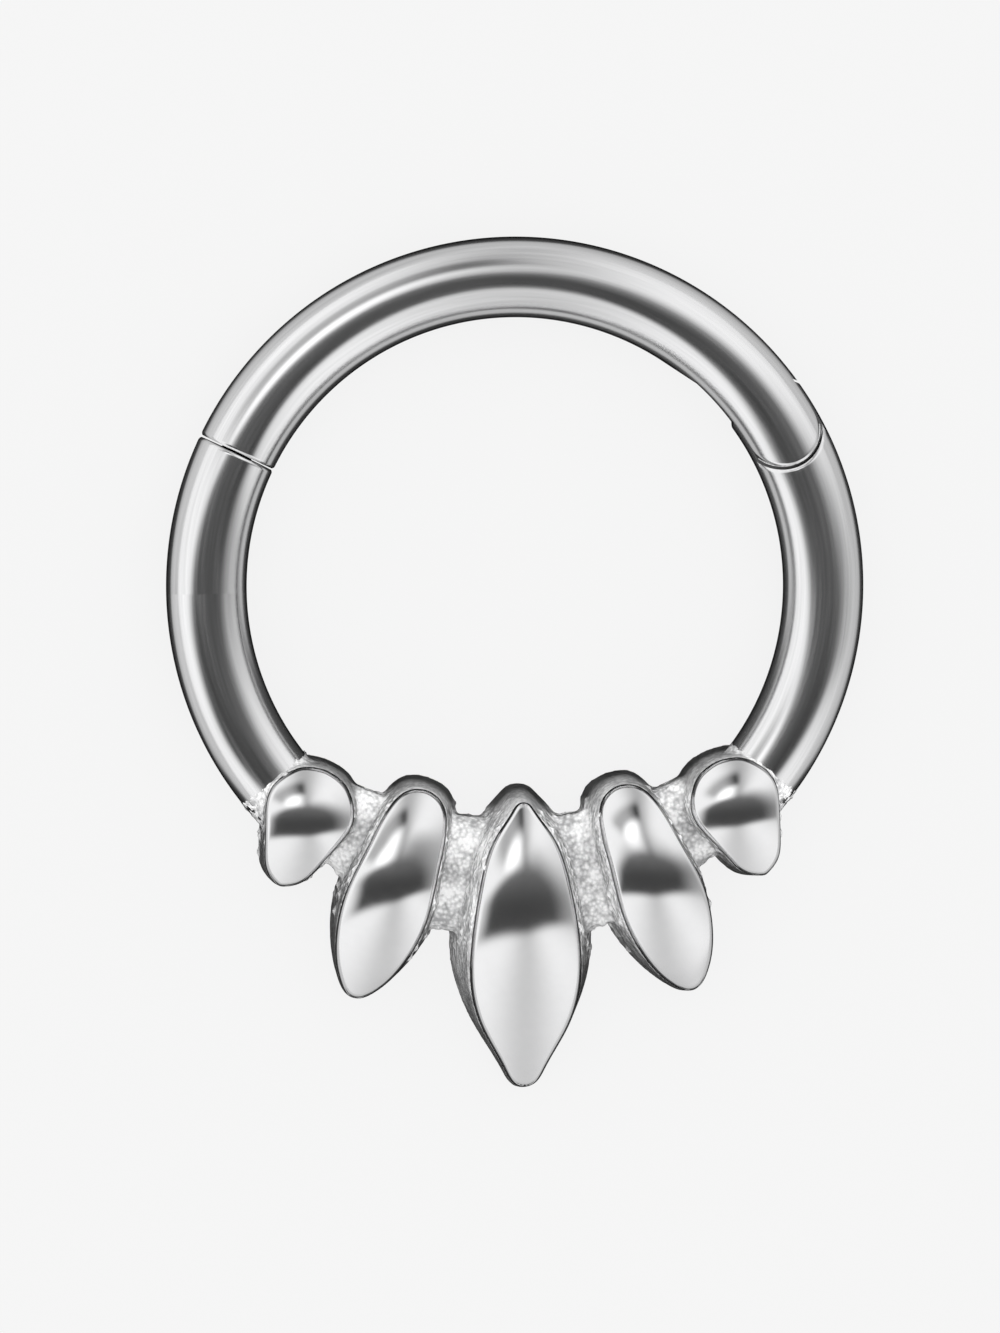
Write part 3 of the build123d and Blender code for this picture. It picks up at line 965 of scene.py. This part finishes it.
def above_web(points):
    """Mask of the seeds' upper ends, which stand clear of the web and are smooth."""
    x, y = points[:, 0], points[:, 1]
    at_outer = np.clip((np.abs(x) - OUTER_FROM) / END_FADE, 0.0, 1.0)
    return np.clip((y - web_upper(x) - END_START + OUTER_LOWER * at_outer) / END_FADE, 0.0, 1.0)


def above_tips(points, least=0.0):
    """Mask that is full from the web's lower edge upward and fades towards the tips."""
    below = web_lower(points[:, 0]) - points[:, 1]
    return np.clip(1.0 - below / ROUGH_FADE, least, 1.0)


def seed_core(kind, side):
    """Closed cast core of a seed under its crown, with a mask of where it stays rough."""
    shape = SeedShape(kind, side)
    top, u, height = crown_points(shape, CORE_BELOW, CORE_INSIDE, CORE_RIM)
    rows, columns = top.shape[:2]
    foot = shape.foot(u)
    bottom = np.stack([foot[:, 0][:, None] * np.linspace(-1.0, 1.0, columns),
                       np.repeat(foot[:, 1][:, None], columns, 1), np.zeros((rows, columns))], -1)
    points = [top.reshape(-1, 3), bottom.reshape(-1, 3)]
    faces = grid_faces(rows, columns, flip=True) + grid_faces(rows, columns, rows * columns)
    rim = rim_numbers(rows, columns)
    flank_height = np.concatenate([height, height[::-1]]) - CORE_DROP
    lowest = add_rings(points, faces, rim, [shape.flank_ring(u, flank_height * (1 - level / CORE_LEVELS))
                                            for level in range(1, CORE_LEVELS)])
    faces += band_faces(lowest, [rows * columns + i for i in rim])
    points = shape.placed(np.concatenate(points))
    rough = above_tips(points) * (1.0 - above_web(points))
    rough[:2 * rows * columns] = 0.0
    return points, faces, rough


# Cast base

def web():
    """Closed slab between the seeds, its front falling off towards its edges."""
    x = np.linspace(-WEB_HALF_WIDTH, WEB_HALF_WIDTH, WEB_ROWS)
    upper, lower = web_upper(x), web_lower(x)
    share = np.linspace(0, 1, WEB_COLUMNS)
    y = lower[:, None] + (upper - lower)[:, None] * share[None, :]
    crest = np.sin(np.pi * share) ** WEB_FALL
    height = WEB_HEIGHT * (WEB_EDGE_SHARE + WEB_CREST_SHARE * crest)
    z = np.repeat(height[None, :], WEB_ROWS, 0)
    x = np.repeat(x[:, None], WEB_COLUMNS, 1)
    top = np.stack([x, y, z], -1).reshape(-1, 3)
    bottom = np.stack([x, y, np.zeros_like(z)], -1).reshape(-1, 3)
    under = WEB_ROWS * WEB_COLUMNS
    faces = grid_faces(WEB_ROWS, WEB_COLUMNS) + grid_faces(WEB_ROWS, WEB_COLUMNS, under, flip=True)
    numbers = np.arange(under).reshape(WEB_ROWS, WEB_COLUMNS)
    edge = [*numbers[:, 0], *numbers[-1, 1:], *numbers[-2::-1, -1], *numbers[0, -2:0:-1]]
    faces += band_faces(edge, [under + i for i in edge])
    return np.concatenate([top, bottom]), faces, np.repeat([1.0, 0.0], under)


def wire_stub(start, end):
    """Short closed stretch of wire where it runs into an outer seed."""
    points, radius = [], wire_r + STUB_OVER
    for j in range(STUB_ROWS):
        turn = start + (end - start) * j / (STUB_ROWS - 1)
        for i in range(STUB_SIDES):
            t = 2 * math.pi * i / STUB_SIDES
            points.append((*on_hoop(turn, HOOP + radius * math.cos(t)), wire_r + radius * math.sin(t)))
    return np.array(points), turned_faces(STUB_ROWS, STUB_SIDES), np.ones(len(points))


def roughen(base):
    """Lifts the casting's skin into lumps and keeps its back flat."""
    points = vectors(base)
    lumps = np.array([noise.fractal(Vector(p) * LUMP_FINENESS, LUMP_FALL, LUMP_STEP, LUMP_LAYERS)
                      for p in points])
    calm = above_tips(points, LOWER_LUMPS) * (1.0 - END_CALM * above_web(points))
    points += vectors(base, "normal") * (lumps * LUMP_LIFT * calm)[:, None]
    points[:, 2] = np.maximum(points[:, 2], 0.0)
    set_points(base, points)


def shade(base):
    """Gives the finished casting darker lower flanks and painted shade on its upper ends close to the back,
    and marks the seeds' smooth upper ends.
    """
    points = vectors(base) / MM
    lower = web_lower(points[:, 0]) + LOWER_FLANK_START - points[:, 1]
    below = np.clip(lower / LOWER_FLANK_FADE, 0.0, 1.0)
    above = above_web(points)
    # Painted shade: the seeds' upper ends darken the closer they come to the back
    cap_shade = above * np.clip((CAP_LIGHT_ABOVE - points[:, 2]) / CAP_FADE, 0.0, 1.0)
    set_mask(base, "tone", (1.0 - LOWER_FLANK_DIM * below) * (1.0 - CAP_PAINTED_SHADE * cap_shade))
    set_mask(base, "smooth_end", above)


def cast_base():
    """Cores, web and wire stubs melted into one rough casting with a flat back."""
    stub = (WIRE_END - 1.0, WIRE_END + 5.0)
    parts = [seed_core(kind, side) for kind, side in EACH_SEED]
    parts += [web(), wire_stub(*stub), wire_stub(180 - stub[1], 180 - stub[0])]
    base = joined("cast_base", [(points, faces) for points, faces, rough in parts])
    face_outward(base)
    set_mask(base, "rough", np.concatenate([rough for points, faces, rough in parts]))
    strew = base.modifiers.new("beads", "NODES")
    strew.node_group = CAST_BEADS
    set_inputs(strew, Beads_per_mm2=BEADS_PER_MM2, Smallest=SMALLEST_BEAD, Largest=LARGEST_BEAD,
               Seed=BEAD_SEED, Material=CAST)
    melt = base.modifiers.new("melt", "REMESH")
    melt.mode, melt.voxel_size, melt.use_smooth_shade = "VOXEL", VOXEL, True
    soften = base.modifiers.new("soften", "SMOOTH")
    soften.factor, soften.iterations = 0.5, 3
    base = settle(base)
    roughen(base)
    finished(base, CAST, crease=180.0)
    shade(base)
    return base


# Pieces on their bodies

segment = segment_wire()
hinge_side = hinge_side_wire()
closure_side = closure_side_wire()
stud = click_stud()
pin = hinge_pin()
crowns = joined("seed_crowns", [crown_shell(kind, side) for kind, side in EACH_SEED])
finished(crowns, POLISHED, crease=60.0)
base = cast_base()

for piece in (hinge_side, closure_side, crowns, base):
    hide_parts("ring_body")
    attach(piece, "ring")
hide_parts("click_stud")
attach(stud, "ring")
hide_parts("hinge_segment")
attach(segment, "segment")
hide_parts("hinge_pin")
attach(pin, "segment")


# Floor and light

def floor_material():
    """Pale lit table: even to the camera; what the metal mirrors of it has a painted shadow beside the ring.
    """
    material = bpy.data.materials.new("floor")
    material.use_nodes = True
    sheet = Sheet(material.node_tree)
    skin = material.node_tree.nodes["Principled BSDF"].inputs
    skin["Roughness"].default_value = 1.0
    skin["Specular IOR Level"].default_value = 0.0
    skin["Base Color"].default_value = (FLOOR_TINT, FLOOR_TINT, FLOOR_TINT, 1.0)
    skin["Emission Color"].default_value = (1.0, 1.0, 1.0, 1.0)
    x, y, z = sheet.split(sheet.place())
    x, y = x / MM, y / MM
    # Painted shadow beside the wire and round the seeds, which only the metal mirrors
    square = (x * x + y * y).at_least(LEAST)
    out = sheet.maths("SQRT", square) - HOOP
    four_ways = ((x * x - y * y) / square) ** 2.0
    outside = four_ways * (SHADE_OUTSIDE[1] - SHADE_OUTSIDE[0]) + SHADE_OUTSIDE[0]
    reach = out.ramp(-SHADE_TURN, SHADE_TURN, SHADE_INSIDE, outside)
    shadow_by_wire = abs(out).ramp(reach, reach + SHADE_SOFT, 1.0, 0.0)
    from_seeds = hypot(x / SEEDS_HALF_WIDTH, (y - SEEDS_MIDDLE) / SEEDS_HALF_HEIGHT)
    beside = shadow_by_wire.at_least(from_seeds.ramp(*SEEDS_SHADE, 1.0, 0.0))
    mirrored = beside.ramp(0.0, 1.0, FLOOR_GLOW_MIRRORED, FLOOR_GLOW_IN_SHADOW)
    seen = Number(sheet, sheet.node("ShaderNodeLightPath").outputs["Is Camera Ray"])
    sheet.put(seen.ramp(0.0, 1.0, mirrored, FLOOR_GLOW), skin["Emission Strength"])
    return material


def studio():
    """World with soft light all round and a darker opening above, where the camera looks through."""
    world = bpy.data.worlds.new("studio")
    world.use_nodes = True
    sheet = Sheet(world.node_tree)
    x, y, z = sheet.split(sheet.node("ShaderNodeTexCoord").outputs["Generated"])
    x, y = x - SIGHT_SHIFT, y + SIGHT_SHIFT
    flat = hypot(x, y).at_least(LEAST)
    above = z.ramp(0.0, HORIZON)

    # Walls: darker straight to the hinge side, to the top and to the tips
    wall = WALL_LIGHT
    for toward, (dip, narrowness) in ((x, EAST_DIP), (y, NORTH_DIP), (y * -1.0, SOUTH_DIP)):
        wall = wall - (toward / flat).at_least(0.0) ** narrowness * dip

    # Glow of a soft lamp above the closure, with a dimmer ring outside it
    glow_x, glow_y = x + GLOW_X, y - GLOW_Y
    across = glow_x * GLOW_AXIS[0] + glow_y * GLOW_AXIS[1]
    outward = glow_y * GLOW_AXIS[0] - glow_x * GLOW_AXIS[1]
    glow = hypot(across / GLOW_LENGTH, outward / GLOW_WIDTH).ramp(GLOW_CORE, 1.0, 1.0, 0.0) * above
    side = x / flat
    ring = flat.ramp(*RING_INNER) * flat.ramp(*RING_OUTER, 1.0, 0.0)
    ring = ring * side.ramp(*RING_LEFT) * side.ramp(*RING_RIGHT, 1.0, 0.0)
    wall = wall - ring * y.ramp(0.0, RING_UP, 0.0, RING_DIP)

    # Dark opening above: its lower edge is sharp, its upper edge soft
    lower = y + OPENING_LOW + x * OPENING_SLOPE + hypot(x, OPENING_ROUND) * OPENING_BEND
    reach = x.ramp(*OPENING_WIDENS, OPENING_UP_LEFT, OPENING_UP_RIGHT)
    away = hypot(x / OPENING_SIDE, (y + OPENING_BASE).at_least(0.0) / reach)
    softness = x.ramp(*OPENING_SOFTENS, *OPENING_SOFT)
    opening = away.ramp(1.0 - softness, softness + 1.0, 1.0, 0.0)
    opening = opening * lower.ramp(-OPENING_SHARP, OPENING_SHARP) * above
    inside = y.ramp(*OPENING_BRIGHTENS, OPENING_LIGHT, OPENING_LIGHT_UP)
    level = wall * (1.0 - opening) + opening * inside + glow * GLOW_LIGHT

    # Matt surfaces gather an even fill light instead
    matt = Number(sheet, sheet.node("ShaderNodeLightPath").outputs["Is Diffuse Ray"])
    background = world.node_tree.nodes["Background"].inputs
    sheet.put(level + matt * (FILL_LIGHT - level), background["Strength"])
    background["Color"].default_value = (1.0, 1.0, 1.0, 1.0)
    return world


half = FLOOR_SIZE / 2 / MM
corners = [(x, y, -FLOOR_DROP) for x, y in ((-half, -half), (half, -half), (half, half), (-half, half))]
floor = mesh_object("floor", corners, [(0, 1, 2, 3)])
floor.data.materials.append(floor_material())
floor.data.transform(Matrix.Scale(MM, 4))
bpy.context.scene.world = studio()
bpy.context.scene.view_settings.view_transform = "Standard"
